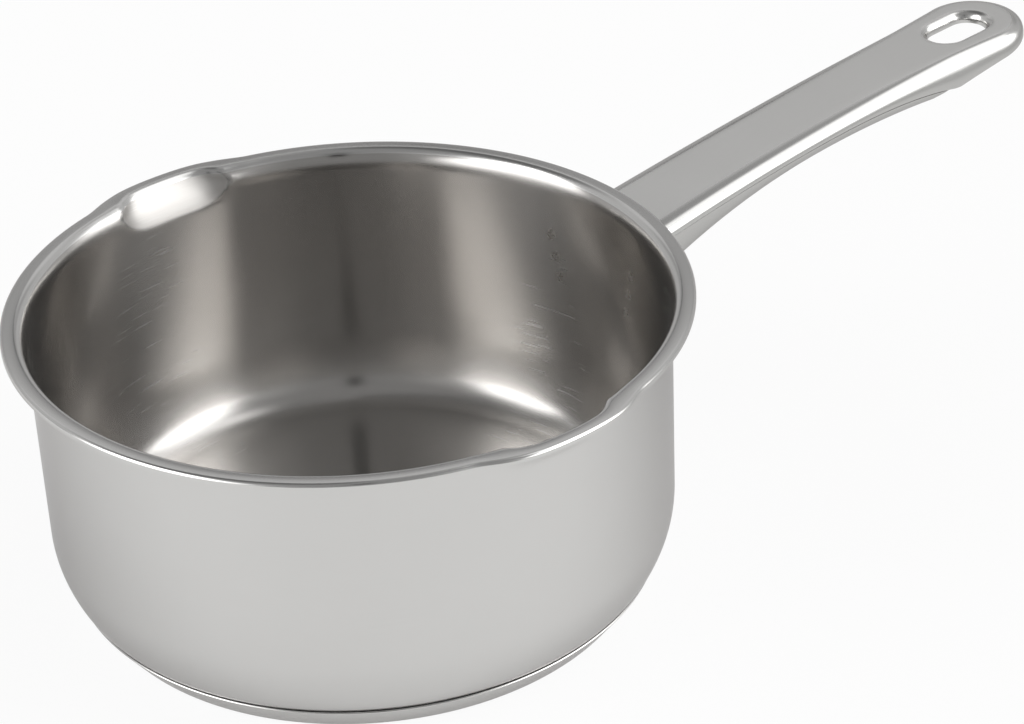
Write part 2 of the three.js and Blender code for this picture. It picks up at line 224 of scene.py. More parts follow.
# painted light and shade: the top colour is painted lighter and the edge colour darker, so the rounded edges,
# sides and underside of the handle are painted shaded
handleFinish = {
    "colour": (0.84, 0.835, 0.82, 1), "colourWorn": (0.79, 0.784, 0.77, 1),
    "edgePaintedShadeColour": (0.67, 0.665, 0.652, 1), "edgeTint": (0.7, 0.69, 0.69, 1),
    "topRoughness": 0.32, "edgeRoughness": 0.2, "roughnessVaries": 0.07, "cloudRoughness": 0.05,
    "linePitch": 0.25 * mm, "lineLength": 30 * mm, "lineDepth": 0.03, "cloudScale": 40.0, "cloudShare": 0.6,
}


def makeHandle():
    look = handleFinish
    material, shader, start, place = newFinish("satinHandle", {
        "Metallic": 1.0, "Specular Tint": look["edgeTint"]})
    x, y, z = place.axes()
    grain = place.vector(x / look["lineLength"], y / look["linePitch"], z / look["linePitch"])
    grain = grain.noise(1.0, 3.0, 0.6)
    flat = start.node("ShaderNodeAttribute", {"attribute_name": "satinTopLitShare"}, None, "Fac").ease(0.2, 0.9)
    clouds = place.noise(look["cloudScale"], 3.0)
    rough = look["edgeRoughness"] + flat * (look["topRoughness"] - look["edgeRoughness"])
    rough = rough + (grain - 0.5) * look["roughnessVaries"] + (clouds - 0.5) * look["cloudRoughness"]
    bump = start.node("ShaderNodeBump", None, {
        "Strength": look["lineDepth"], "Distance": 0.04 * mm, "Height": grain})
    satin = (clouds * look["cloudShare"] + grain * (1.0 - look["cloudShare"])).clamped()
    satin = satin.blend(look["colour"], look["colourWorn"])
    # painted shade: away from the satin top the colour blends to the darker edge colour
    feed(shader, colour=flat.blend(look["edgePaintedShadeColour"], satin), roughness=rough, normal=bump)
    return material


weldFinish = {
    "colour": (0.64, 0.625, 0.61, 1), "colourBurnt": (0.44, 0.42, 0.4, 1),
    "roughness": 0.26, "roughnessVaries": 0.3, "grainScale": 900.0, "grainDepth": 0.06,
}


def makeWeld():
    look = weldFinish
    material, shader, start, place = newFinish("weldSpots", {"Metallic": 1.0})
    grains = place.noise(look["grainScale"], 3.0, 0.6)
    rough = look["roughness"] + (grains - 0.5) * look["roughnessVaries"]
    bump = start.node("ShaderNodeBump", None, {
        "Strength": look["grainDepth"], "Distance": 0.1 * mm, "Height": grains})
    feed(shader, colour=grains.ease(0.52, 0.7).blend(look["colour"], look["colourBurnt"]),
         roughness=rough, normal=bump)
    return material


coreGrain = {"scale": 300.0, "depth": 0.15, "roughnessVaries": 0.2}
spreaderFinish = {"colour": (0.6, 0.61, 0.62, 1), "colourDull": (0.5, 0.51, 0.52, 1), "roughness": 0.45}
brazeFinish = {"colour": (0.45, 0.45, 0.43, 1), "colourDull": (0.36, 0.35, 0.33, 1), "roughness": 0.6}


def makeCore(name, look):
    material, shader, start, place = newFinish(name, {"Metallic": 1.0})
    grains = place.noise(coreGrain["scale"], 4.0, 0.6)
    rough = look["roughness"] + (grains - 0.5) * coreGrain["roughnessVaries"]
    bump = start.node("ShaderNodeBump", None, {
        "Strength": coreGrain["depth"], "Distance": 0.1 * mm, "Height": grains})
    feed(shader, colour=grains.blend(look["colour"], look["colourDull"]), roughness=rough, normal=bump)
    return material


outside = makeOutside()
inside = makeInside()
satinHandle = makeHandle()
weldMetal = makeWeld()
spreaderMetal = makeCore("spreaderAluminium", spreaderFinish)
brazeMetal = makeCore("brazeAlloy", brazeFinish)
print("finishes made")


# Mesh helpers

def newObject(name, mesh):
    piece = bpy.data.objects.new(name, mesh)
    scene.collection.objects.link(piece)
    return piece


def meshFrom(name, points, faces=(), edges=()):
    mesh = bpy.data.meshes.new(name)
    mesh.from_pydata([[c * mm for c in p] for p in points], list(edges), list(faces))
    return mesh


def arcPoints(x, z, radius, start, end, steps, rise=None):
    rise = radius if rise is None else rise  # an ellipse, where its height differs
    turns = [math.radians(start + (end - start) * i / steps) for i in range(steps + 1)]
    return [(x + radius * math.cos(t), z + rise * math.sin(t)) for t in turns]


def profileObject(name, profile):
    points = [(r, 0.0, z) for r, z in profile]
    return newObject(name, meshFrom(name, points, edges=[(i, i + 1) for i in range(len(points) - 1)]))


def settle(piece, angle=35.0):
    # merges doubles, turns the faces outwards and keeps only true corners sharp
    work = bmesh.new()
    work.from_mesh(piece.data)
    bmesh.ops.remove_doubles(work, verts=work.verts, dist=0.002 * mm)
    bmesh.ops.recalc_face_normals(work, faces=work.faces)
    work.to_mesh(piece.data)
    work.free()
    piece.data.polygons.foreach_set("use_smooth", [True] * len(piece.data.polygons))
    piece.data.set_sharp_from_angle(angle=math.radians(angle))


def bake(piece):
    # turns a piece with modifiers into a plain mesh
    depsgraph = bpy.context.evaluated_depsgraph_get()
    mesh = bpy.data.meshes.new_from_object(piece.evaluated_get(depsgraph))
    piece.modifiers.clear()
    piece.data = mesh
    mesh.name = piece.name


def addTree(piece, tree, values):
    modifier = piece.modifiers.new(tree.name, "NODES")
    modifier.node_group = tree
    for item in tree.interface.items_tree:
        if item.item_type == "SOCKET" and item.in_out == "INPUT" and item.name in values:
            modifier[item.identifier] = values[item.name]
    bake(piece)


def newTree(name, inputs):
    tree = bpy.data.node_groups.new(name, "GeometryNodeTree")
    tree.interface.new_socket("Geometry", in_out="INPUT", socket_type="NodeSocketGeometry")
    for label, kind in inputs:
        tree.interface.new_socket(label, in_out="INPUT", socket_type="NodeSocket" + kind)
    tree.interface.new_socket("Geometry", in_out="OUTPUT", socket_type="NodeSocketGeometry")
    source = tree.nodes.new("NodeGroupInput")
    wires = {socket.name: Wire(tree, socket) for socket in source.outputs if socket.name}
    return tree, wires


def endTree(tree, result):
    sink = tree.nodes.new("NodeGroupOutput")
    tree.links.new(result.socket, sink.inputs[0])


# Turned sheet: spins a profile round the pan's axis and presses the two pouring lips into it

lipForm = {
    "bulgeAlong": 4.0, "bulgeSoft": 2.0,  # powers of the rim's bulge along the lip
    "pocketAlong": 5.0, "pocketDown": 1.25, "pocketSoft": 0.55,  # powers of the pocket, and its soft edge
    "pocketNarrow": 0.82, "pocketNarrowTo": 0.4,  # its width at the rim, and how far down it is whole
}


def makeTurnedTree():
    f = lipForm
    tree, given = newTree("turnedSheet", [
        ("Segments", "Int"), ("Inside Points", "Int"), ("Wall Radius", "Float"), ("Rim Radius", "Float"),
        ("Rim Height", "Float"), ("Lip Reach", "Float"), ("Lip Width", "Float"), ("Pocket Hollow", "Float"),
        ("Pocket Width", "Float"), ("Pocket Depth", "Float"),
        ("Inside Finish", "Material"), ("Outside Finish", "Material")])
    start = Wire(tree)
    profile = given["Geometry"]
    count = start.node("GeometryNodeAttributeDomainSize", {"component": "MESH"}, {0: profile}, "Point Count")
    grid = start.node("GeometryNodeMeshGrid", None, {
        "Size X": 1.0, "Size Y": 1.0, "Vertices X": given["Segments"] + 1, "Vertices Y": count})
    index = start.node("GeometryNodeInputIndex")
    turn = start.math("FLOOR", (index + 0.5) / count)
    step = index - turn * count
    here = start.node("GeometryNodeInputPosition")
    sample = start.node("GeometryNodeSampleIndex", {"data_type": "FLOAT_VECTOR", "domain": "POINT"},
                        {"Geometry": profile, "Value": here, "Index": step + 0.25})
    radius, _, height = sample.axes()
    angle = turn / given["Segments"] * (2 * math.pi)
    # the rim bulges out along the lip's width, and under it the wall is pressed into an oval pocket
    along, across = start.math("COSINE", angle), start.math("SINE", angle)
    toLip = start.math("ABSOLUTE", start.math("ARCTAN2", along, start.math("ABSOLUTE", across)))
    aside = toLip * given["Rim Radius"]
    spread = (aside / (given["Lip Width"] * 0.5)).clamped()
    bulge = given["Lip Reach"] * (1.0 - spread ** f["bulgeAlong"]) ** f["bulgeSoft"]
    drop = (given["Rim Height"] - height) / given["Pocket Depth"]
    whole = f["pocketNarrow"] + (1.0 - f["pocketNarrow"]) * drop.ease(0.0, f["pocketNarrowTo"])
    share = aside / (given["Pocket Width"] * 0.5 * whole)
    pocketShare = 1.0 - (share ** f["pocketAlong"] + drop.clamped() ** f["pocketDown"]).clamped()
    pocketShare = pocketShare * (1.0 - (1.0 - pocketShare) ** 2.0 * f["pocketSoft"])
    pocket = given["Pocket Hollow"] * pocketShare
    outward = ((radius - given["Wall Radius"]) / (given["Rim Radius"] - given["Wall Radius"])).clamped()
    pressed = radius + pocket + (bulge - pocket) * outward
    placed = start.node("GeometryNodeSetPosition", None, {
        "Geometry": grid, "Position": start.vector(pressed * along, pressed * across, height)})
    noted = start.node("GeometryNodeStoreNamedAttribute", {"data_type": "FLOAT", "domain": "POINT"}, {
        "Geometry": placed, "Name": "profileStep", "Value": step})
    noted = start.node("GeometryNodeStoreNamedAttribute", {"data_type": "FLOAT", "domain": "POINT"}, {
        "Geometry": noted, "Name": "pressed", "Value": pocketShare * (1.0 - outward)})
    joined = start.node("GeometryNodeMergeByDistance", None, {"Geometry": noted, "Distance": 0.004 * mm})
    painted = start.node("GeometryNodeSetMaterial", None, {
        "Geometry": joined, "Material": given["Outside Finish"]})
    stepHere = start.node("GeometryNodeInputNamedAttribute", {"data_type": "FLOAT"}, {"Name": "profileStep"})
    isInside = start.node("FunctionNodeCompare", {"data_type": "FLOAT", "operation": "LESS_THAN"},
                          {0: stepHere, 1: given["Inside Points"]})
    painted = start.node("GeometryNodeSetMaterial", None, {
        "Geometry": painted, "Selection": isInside, "Material": given["Inside Finish"]})
    endTree(tree, painted)
    return tree


turnedTree = makeTurnedTree()

vessel = {
    "insideDiameter": 160.0, "sheet": 0.6, "height": 79.5, "floorUnderside": 4.1,
    "sweepRadius": 28.0, "sweepHeight": 23.0, "kneeRadius": 11.5,
    "rimOverhang": 5.9, "rimBendReach": 3.2, "rimBendDrop": 6.0, "rimEdgeRadius": 0.95, "rimEdgeHeight": 1.5,
    "lipReach": 2.7, "lipWidth": 52.0, "pocketHollow": 3.4, "pocketWidth": 40.0, "pocketDepth": 9.8,
    "segments": 360,
}
vesselSteps = {"floor": 10, "knee": 14, "sweep": 12, "wall": 36, "bend": 14, "insideBend": 8, "edge": 7}
wallRadius = vessel["insideDiameter"] / 2 + vessel["sheet"]
rimRadius = wallRadius + vessel["rimOverhang"]
kneeZ = vessel["floorUnderside"] + vessel["kneeRadius"]
sweepX = wallRadius - vessel["sweepRadius"]
kneeReach = vessel["sweepRadius"] - vessel["kneeRadius"]
kneeX = sweepX + math.sqrt(kneeReach ** 2 - (kneeZ - vessel["sweepHeight"]) ** 2)
kneeAngle = math.degrees(math.atan2(kneeZ - vessel["sweepHeight"], kneeX - sweepX))


def vesselSide(offset):
    # one face of the sheet, from the floor's centre to the rim's edge
    v, steps = vessel, vesselSteps
    floor = v["floorUnderside"] + offset
    low = [(kneeX * i / steps["floor"], floor) for i in range(steps["floor"])]
    knee = arcPoints(kneeX, kneeZ, v["kneeRadius"] - offset, -90, kneeAngle, steps["knee"])
    sweep = arcPoints(sweepX, v["sweepHeight"], v["sweepRadius"] - offset, kneeAngle, 0, steps["sweep"])[1:]
    top = v["height"] - v["rimBendDrop"]
    wall = []
    for i in range(1, steps["wall"]):  # closer together towards the rim, where the lips are pressed
        share = 1 - (1 - i / steps["wall"]) ** 2
        wall.append((wallRadius - offset, v["sweepHeight"] + (top - v["sweepHeight"]) * share))
    thin = v["sheet"] - offset
    bend = arcPoints(wallRadius - v["sheet"] + v["rimBendReach"], top, v["rimBendReach"] - thin,
                     180, 90, steps["bend"], v["rimBendDrop"] - thin)
    edgeX = rimRadius - v["rimEdgeRadius"]
    edge = arcPoints(edgeX, v["height"] - v["rimEdgeRadius"], v["rimEdgeRadius"] - v["sheet"] + offset,
                     90, 0, steps["edge"])
    last = [(edge[-1][0], v["height"] - v["rimEdgeHeight"])]
    brushed = len(low + knee + sweep + wall) + steps["insideBend"]  # the rest of the rim is polished
    return low + knee + sweep + wall + bend + edge + last, brushed


def makeVessel():
    v = vessel
    innerSide, innerPoints = vesselSide(v["sheet"])
    outerSide, _ = vesselSide(0.0)
    piece = profileObject("vessel", innerSide + outerSide[::-1])
    addTree(piece, turnedTree, {
        "Segments": v["segments"], "Inside Points": innerPoints, "Wall Radius": wallRadius * mm,
        "Rim Radius": rimRadius * mm, "Rim Height": v["height"] * mm, "Lip Reach": v["lipReach"] * mm,
        "Lip Width": v["lipWidth"] * mm, "Pocket Hollow": v["pocketHollow"] * mm,
        "Pocket Width": v["pocketWidth"] * mm, "Pocket Depth": v["pocketDepth"] * mm,
        "Inside Finish": inside, "Outside Finish": outside})
    settle(piece, 50)
    return piece


capsule = {
    "footInset": 10.7, "sheet": 0.5, "height": 7.7, "cornerRadius": 2.0, "gap": 0.2, "lipRound": 0.7,
    "segments": 288, "floorSteps": 8, "cornerSteps": 10, "lipSteps": 6,
}


def makeCapsule():
    c = capsule
    foot = wallRadius - c["footInset"]
    inner = c["cornerRadius"] - c["sheet"]
    rise = kneeZ - c["height"]
    topX = kneeX + math.sqrt(vessel["kneeRadius"] ** 2 - rise ** 2) + c["gap"] - foot
    topZ = c["height"] - c["cornerRadius"]
    lean = math.acos(inner / math.hypot(topX, topZ)) - math.atan2(topZ, topX)
    turnEnd, steps = -math.degrees(lean), c["floorSteps"]
    cornerIn = arcPoints(foot, c["cornerRadius"], inner, -90, turnEnd, c["cornerSteps"])
    cornerOut = arcPoints(foot, c["cornerRadius"], c["cornerRadius"], -90, turnEnd, c["cornerSteps"])
    insideTop = (foot + topX, c["height"])
    outsideTop = (foot + topX + c["sheet"] * math.cos(lean), c["height"] - c["sheet"] * math.sin(lean))
    across = (outsideTop[0] - insideTop[0], outsideTop[1] - insideTop[1])
    down = (-math.sin(lean), -math.cos(lean))
    lip = []  # the rolled-over top edge that shows as a bright line
    for i in range(c["lipSteps"] + 1):
        turn = math.pi * i / c["lipSteps"]
        share = 0.5 - 0.5 * math.cos(turn)
        sink = 0.5 * c["sheet"] * (1 - math.sin(turn)) * c["lipRound"]
        lip.append([insideTop[k] + across[k] * share + down[k] * sink for k in (0, 1)])
    floorIn = [(foot * i / steps, c["sheet"]) for i in range(steps)]
    floorOut = [(foot * i / steps, 0.0) for i in range(steps)]
    profile = floorIn + cornerIn + lip + cornerOut[::-1] + floorOut[::-1]
    piece = profileObject("base_dish", profile)
    addTree(piece, turnedTree, {
        "Segments": c["segments"], "Inside Points": 0, "Wall Radius": wallRadius * mm,
        "Rim Radius": rimRadius * mm, "Rim Height": vessel["height"] * mm, "Lip Reach": 0.0,
        "Lip Width": vessel["lipWidth"] * mm, "Pocket Hollow": 0.0,
        "Pocket Width": vessel["pocketWidth"] * mm, "Pocket Depth": vessel["pocketDepth"] * mm,
        "Inside Finish": inside, "Outside Finish": outside})
    settle(piece, 50)
    return piece


vesselPiece = makeVessel()
capsulePiece = makeCapsule()
print("vessel and base dish turned")


# Hollow handle, pressed from two sheets

handle = {
    "length": 157.45, "rootDrop": 11.8, "rise": 18.29, "archRadius": 1152.5, "sheet": 0.8, "rootRadius": 82.4,
    "edgeRoot": 5.8, "edgeHead": 4.6, "edgePower": 0.8, "satinFade": 4,
    "waistDistance": 67.6, "widthRoot": 29.47, "widthWaist": 27.05, "widthHead": 30.98,
    "headPower": 2.4, "nose": 15.8,
    "skirtRoot": 3.7, "skirtHead": 9.0, "skirtTip": 3.8, "skirtPower": 6,
    "trayTipDistance": 34.7, "trayNose": 9.0, "trayNosePower": 0.5, "trayRoot": 17.55, "trayWaist": 7.32,
    "trayEnd": 10.73, "trayPower": 1.77, "trayLap": 0.3, "trayLapPower": 1.2,
    "trayEdge": 3.0, "trayStep": 0.02, "seamAtRoot": 0.03, "seamAtEnd": 0.16,
}
slot = {
    "tipDistance": 20.85, "length": 19.4, "width": 11.3, "edgeRadius": 2.4, "collarDepth": 3.2, "margin": 3.0,
    "steps": 12, "ringSteps": 5, "edgeSteps": 8, "satinSteps": 4, "satinLeft": 0.4,
}
tipX = wallRadius + handle["length"]
waistX = wallRadius + handle["waistDistance"]
headX = tipX - handle["nose"]
trayEndX = tipX - handle["trayTipDistance"]
slotX = tipX - slot["tipDistance"]


def topLine(x):
    out = x - wallRadius
    slope = handle["rise"] / handle["length"] + handle["length"] / (2 * handle["archRadius"])
    return vessel["height"] - handle["rootDrop"] + slope * out - out * out / (2 * handle["archRadius"])


def waisted(x, root, waist, end, endX, power):
    if x < waistX:
        return waist + (root - waist) * ((waistX - x) / (waistX - wallRadius)) ** 2
    return waist + (end - waist) * ((x - waistX) / (endX - waistX)) ** power


def halfWidth(x):
    h = handle
    return waisted(x, h["widthRoot"], h["widthWaist"], h["widthHead"], headX, h["headPower"]) / 2


def skirtDepth(x):
    h = handle
    if x < trayEndX:
        along = (x - wallRadius) / (trayEndX - wallRadius)
        return h["skirtRoot"] + (h["skirtHead"] - h["skirtRoot"]) * along ** h["skirtPower"]
    return h["skirtHead"] + (h["skirtTip"] - h["skirtHead"]) * (x - trayEndX) / (tipX - trayEndX)


def edgeWidth(x):
    share = min(1.0, max(0.0, (x - waistX) / (headX - waistX)))
    return handle["edgeRoot"] + (handle["edgeHead"] - handle["edgeRoot"]) * share


def trayDepth(x):
    # runs up to the skirt at the tray's rounded end
    h = handle
    depth = waisted(x, h["trayRoot"], h["trayWaist"], h["trayEnd"], trayEndX, h["trayPower"])
    past = min(1.0, max(0.0, (x - trayEndX + h["trayNose"]) / h["trayNose"]))
    return depth + (seamDepth(x) + h["trayLap"] - depth) * past ** h["trayLapPower"]


def seamDepth(x):
    h = handle
    along = min(1.0, max(0.0, (x - wallRadius) / (trayEndX - wallRadius)))
    return skirtDepth(x) + h["seamAtRoot"] + (h["seamAtEnd"] - h["seamAtRoot"]) * along


def rootAt(y):
    return math.sqrt(handle["rootRadius"] ** 2 - y * y)


class Sheet:
    # collects points and faces, with a share of satin finish at each point; the same share sets where the
    # handle's colour is painted shaded
    def __init__(self):
        self.points, self.faces, self.satin = [], [], []

    def add(self, point, satin=0.0):
        self.points.append(point)
        self.satin.append(satin)
        return len(self.points) - 1

    def grid(self, rows):  # rows of (point, satin), each as long as the first
        ids = [[self.add(*cell) for cell in row] for row in rows]
        for upper, lower in zip(ids, ids[1:]):
            for i in range(len(upper) - 1):
                self.faces.append((upper[i], upper[i + 1], lower[i + 1], lower[i]))

    def piece(self, name, thickness, finish, up):
        mesh = meshFrom(name, self.points, self.faces)
        layer = mesh.attributes.new("satinTopLitShare", "FLOAT", "POINT")
        layer.data.foreach_set("value", self.satin)
        made = newObject(name, mesh)
        work = bmesh.new()
        work.from_mesh(mesh)
        bmesh.ops.remove_doubles(work, verts=work.verts, dist=0.003 * mm)
        bmesh.ops.dissolve_degenerate(work, edges=work.edges, dist=0.003 * mm)
        bmesh.ops.recalc_face_normals(work, faces=work.faces)
        tall = max(work.faces, key=lambda f: f.calc_center_median().z * up)
        if tall.normal.z * up < 0:
            bmesh.ops.reverse_faces(work, faces=work.faces)
        work.to_mesh(mesh)
        work.free()
        mesh.materials.append(finish)
        wall = made.modifiers.new("thickness", "SOLIDIFY")
        wall.thickness = thickness * mm
        wall.offset = -1.0
        wall.use_even_offset = True
        bake(made)
        settle(made, 40)
        return made


rootSteps, headSteps, noseSteps, flatSteps, rollSteps = 48, 10, 16, 12, 16
ringStartX = slotX - slot["length"] / 2 - slot["edgeRadius"] - slot["margin"]


def edgeStations(share):
    # points round the handle's edge, from the root along -y, round the head and back along +y;
    # the share is 0 at the outline and 1 where the flat top begins
    near = []
    first = rootAt(halfWidth(wallRadius) - share * edgeWidth(wallRadius))
    for i in range(rootSteps):
        x = first + (ringStartX - first) * i / rootSteps
        near.append((x, share * edgeWidth(x) - halfWidth(x)))
    for i in range(headSteps):
        x = ringStartX + (headX - ringStartX) * i / headSteps
        near.append((x, share * edgeWidth(x) - halfWidth(x)))
    nose = []
    inset = share * edgeWidth(headX)
    for i in range(2 * noseSteps + 1):
        turn = math.pi * i / (2 * noseSteps)
        x = headX + (handle["nose"] - inset) * math.sin(turn)
        nose.append((x, (inset - halfWidth(headX)) * math.cos(turn)))
    return near + nose + [(x, -y) for x, y in reversed(near)]


def slotLoop(offset):
    # points round the slot, from its root end along -y
    s = slot
    radius = s["width"] / 2 + offset
    straight = (s["length"] - s["width"]) / 2
    points = []
    for i in range(2 * s["steps"] + 1):
        turn = math.radians(90 - 180 * i / (2 * s["steps"]))
        points.append((slotX - straight - radius * math.cos(turn), radius * math.sin(turn)))
    for i in range(1, headSteps):
        points.append((slotX - straight + 2 * straight * i / headSteps, -radius))
    for i in range(2 * noseSteps + 1):
        turn = math.pi * i / (2 * noseSteps)
        points.append((slotX + straight + radius * math.sin(turn), -radius * math.cos(turn)))
    for i in range(1, headSteps):
        points.append((slotX + straight - 2 * straight * i / headSteps, radius))
    points.append(points[0])
    return points


def makeUpperShell():
    h, s = handle, slot
    sheet = Sheet()
    rows = []  # from the flat top over the rounded edge to the skirt's foot
    for i in range(rollSteps + 1):
        turn = math.pi / 2 * i / rollSteps
        row = []
        out, down = math.sin(turn) ** h["edgePower"], 1 - abs(math.cos(turn)) ** h["edgePower"]
        # the satin share fades over the rounded edge, and there the handle is painted shaded
        satin = max(0.0, 1 - h["satinFade"] * i / rollSteps)
        for x, y in edgeStations(1 - out):
            row.append(((x, y, topLine(x) - skirtDepth(x) * down), satin))
        rows.append(row)
    sheet.grid(rows)
    # flat top from the root to the slot
    flat = edgeStations(1.0)
    rows = []
    for i in range(rootSteps + 1):
        edgeX, edgeY = flat[i]
        row = []
        for j in range(2 * s["steps"] + 1):
            y = edgeY * (1 - j / s["steps"])
            x = edgeX + (rootAt(y) - rootAt(edgeY)) * (1 - i / rootSteps)
            row.append(((x, y, topLine(x)), 1.0))
        rows.append(row)
    sheet.grid(rows)
    # flat top round the slot, then the slot's rolled edge and collar
    half = -flat[rootSteps][1]
    outer = [(ringStartX, half * (1 - i / s["steps"])) for i in range(2 * s["steps"] + 1)]
    outer += flat[rootSteps + 1:len(flat) - rootSteps]
    inner = slotLoop(s["edgeRadius"])
    outer = outer[:len(inner) - 1] + [outer[0]]
    rows = []
    for k in range(s["ringSteps"] + 1):
        share = k / s["ringSteps"]
        row = []
        for (ax, ay), (bx, by) in zip(outer, inner):
            x, y = ax + (bx - ax) * share, ay + (by - ay) * share
            row.append(((x, y, topLine(x)), 1.0))
        rows.append(row)
    sheet.grid(rows)
    rows = []
    for i in range(s["edgeSteps"] + 1):
        turn = math.pi / 2 * i / s["edgeSteps"]
        offset, depth = s["edgeRadius"] * (1 - math.sin(turn)), s["edgeRadius"] * (1 - math.cos(turn))
        # the slot's rolled edge keeps part of the satin share, so it is painted partly shaded
        satin = max(s["satinLeft"], 1 - i / s["satinSteps"])
        rows.append([((x, y, topLine(x) - depth), satin) for x, y in slotLoop(offset)])
    rows.append([((x, y, topLine(x) - s["collarDepth"]), s["satinLeft"]) for x, y in slotLoop(0.0)])
    sheet.grid(rows)
    return sheet.piece("handle_top", h["sheet"], satinHandle, 1)


def makeLowerShell():
    h = handle
    sheet = Sheet()
    sideEnd = trayEndX - h["trayNose"]

    def outline(inset):
        first = rootAt(halfWidth(wallRadius) - inset)
        near = []
        for i in range(rootSteps):
            x = first + (sideEnd - first) * i / rootSteps
            near.append((x, inset - halfWidth(x)))
        nose = []
        reach = h["trayNose"] - inset
        for i in range(2 * noseSteps + 1):
            turn = math.pi * i / (2 * noseSteps)
            x = sideEnd + reach * math.sin(turn) ** h["trayNosePower"]
            y = abs(math.cos(turn)) ** h["trayNosePower"] * math.copysign(1.0, math.cos(turn))
            nose.append((x, (inset - halfWidth(x)) * y))
        return near + nose + [(x, -y) for x, y in reversed(near)]

    rows = []
    for i in range(rollSteps + 1):
        turn = math.pi / 2 * i / rollSteps
        inset = h["trayEdge"] * (1 - math.cos(turn)) - h["trayStep"]
        row = []
        for x, y in outline(inset):
            seam = seamDepth(x)
            row.append(((x, y, topLine(x) - seam - (trayDepth(x) - seam) * math.sin(turn)), 0.0))
        rows.append(row)
    sheet.grid(rows)
    loop = outline(h["trayEdge"] - h["trayStep"])
    near, far = loop[:len(loop) // 2 + 1], loop[len(loop) // 2:][::-1]
    rows = []
    for (ax, ay), (bx, by) in zip(near, far):
        row = []
        for j in range(flatSteps + 1):
            y = ay + (by - ay) * j / flatSteps
            x = ax if len(rows) else rootAt(y)
            row.append(((x, y, topLine(x) - trayDepth(x)), 0.0))
        rows.append(row)
    sheet.grid(rows)
    return sheet.piece("handle_underside", h["sheet"], satinHandle, -1)


upperPiece = makeUpperShell()
lowerPiece = makeLowerShell()
print("handle shells pressed")


# Root plate behind the handle, and the spot welds that hold it

plate = {
    "inside": 80.9, "outside": 82.1, "top": 66.7, "height": 22.5, "widthTop": 43.7, "widthBottom": 33.7,
    "corner": 4.0, "cornerSteps": 8, "sideSteps": 12, "ringSteps": 8,
}


def makePlate():
    p = plate
    low = p["top"] - p["height"]
    corners = [Vector((-p["widthBottom"] / 2, low)), Vector((p["widthBottom"] / 2, low)),
               Vector((p["widthTop"] / 2, p["top"])), Vector((-p["widthTop"] / 2, p["top"]))]
    outline = []
    for i, corner in enumerate(corners):
        into = corner + (corners[i - 1] - corner).normalized() * p["corner"]
        out = corner + (corners[(i + 1) % 4] - corner).normalized() * p["corner"]
        following = corners[(i + 1) % 4] + (corner - corners[(i + 1) % 4]).normalized() * p["corner"]
        for k in range(p["cornerSteps"] + 1):
            t = k / p["cornerSteps"]
            outline.append(into * (1 - t) ** 2 + corner * 2 * t * (1 - t) + out * t * t)
        outline += [out.lerp(following, k / p["sideSteps"]) for k in range(1, p["sideSteps"])]
    centre = Vector((0.0, p["top"] - p["height"] / 2))
    sheet = Sheet()
    rows = []
    for k in range(p["ringSteps"] + 1):
        row = []
        for w in outline + outline[:1]:
            y, z = centre.lerp(w, k / p["ringSteps"])
            row.append(((math.sqrt(p["outside"] ** 2 - y * y), y, z), 0.0))
        rows.append(row)
    sheet.grid(rows)
    return sheet.piece("handle_root_plate_fine", p["outside"] - p["inside"], satinHandle, 1)


def makeWeldTree():
    tree, given = newTree("weldColumns", [
        ("Rows", "Int"), ("Pitch", "Float"), ("Top Height", "Float"), ("Reach Top", "Float"),
        ("Reach Bottom", "Float"), ("Radius", "Float"), ("Facing", "Float"), ("Finish", "Material")])
    start = Wire(tree)
    grid = start.node("GeometryNodeMeshGrid", None, {
        "Size X": 1.0, "Size Y": 1.0, "Vertices X": 2, "Vertices Y": given["Rows"]})
    index = start.node("GeometryNodeInputIndex")
    column = start.math("FLOOR", (index + 0.5) / given["Rows"])
    row = index - column * given["Rows"]
    share = row / (given["Rows"] - 1)
    reach = given["Reach Top"] + (given["Reach Bottom"] - given["Reach Top"]) * share
    angle = (column * 2.0 - 1.0) * start.math("ARCSINE", reach / given["Radius"])
    x, y = given["Radius"] * start.math("COSINE", angle), given["Radius"] * start.math("SINE", angle)
    place = start.vector(x, y, given["Top Height"] - row * given["Pitch"])
    points = start.node("GeometryNodeSetPosition", None, {"Geometry": grid, "Position": place})
    turn = start.vector(0.0, 0.0, angle + given["Facing"])
    turn = start.node("FunctionNodeEulerToRotation", None, {0: turn})
    spots = start.node("GeometryNodeInstanceOnPoints", None, {
        "Points": points, "Instance": given["Geometry"], "Rotation": turn})
    real = start.node("GeometryNodeRealizeInstances", None, {0: spots})
    painted = start.node("GeometryNodeSetMaterial", None, {"Geometry": real, "Material": given["Finish"]})
    endTree(tree, painted)
    return tree


weldTree = makeWeldTree()
weld = {
    "rows": 3, "pitch": 6.1, "topHeight": 61.6, "reachTop": 16.72, "reachBottom": 14.0, "rounds": 28,
    # each spot's profile, as radius and height
    "plug": [(0.0, -0.1), (0.7, -0.08), (1.2, 0.0), (1.55, 0.05), (1.85, 0.02), (2.0, -0.06),
             (2.0, -1.1), (0.0, -1.1)],
    "mark": [(0.0, 0.01), (0.5, 0.012), (0.9, 0.02), (1.2, 0.022), (1.5, 0.012), (1.75, -0.01),
             (1.75, -0.1), (0.0, -0.1)],
}


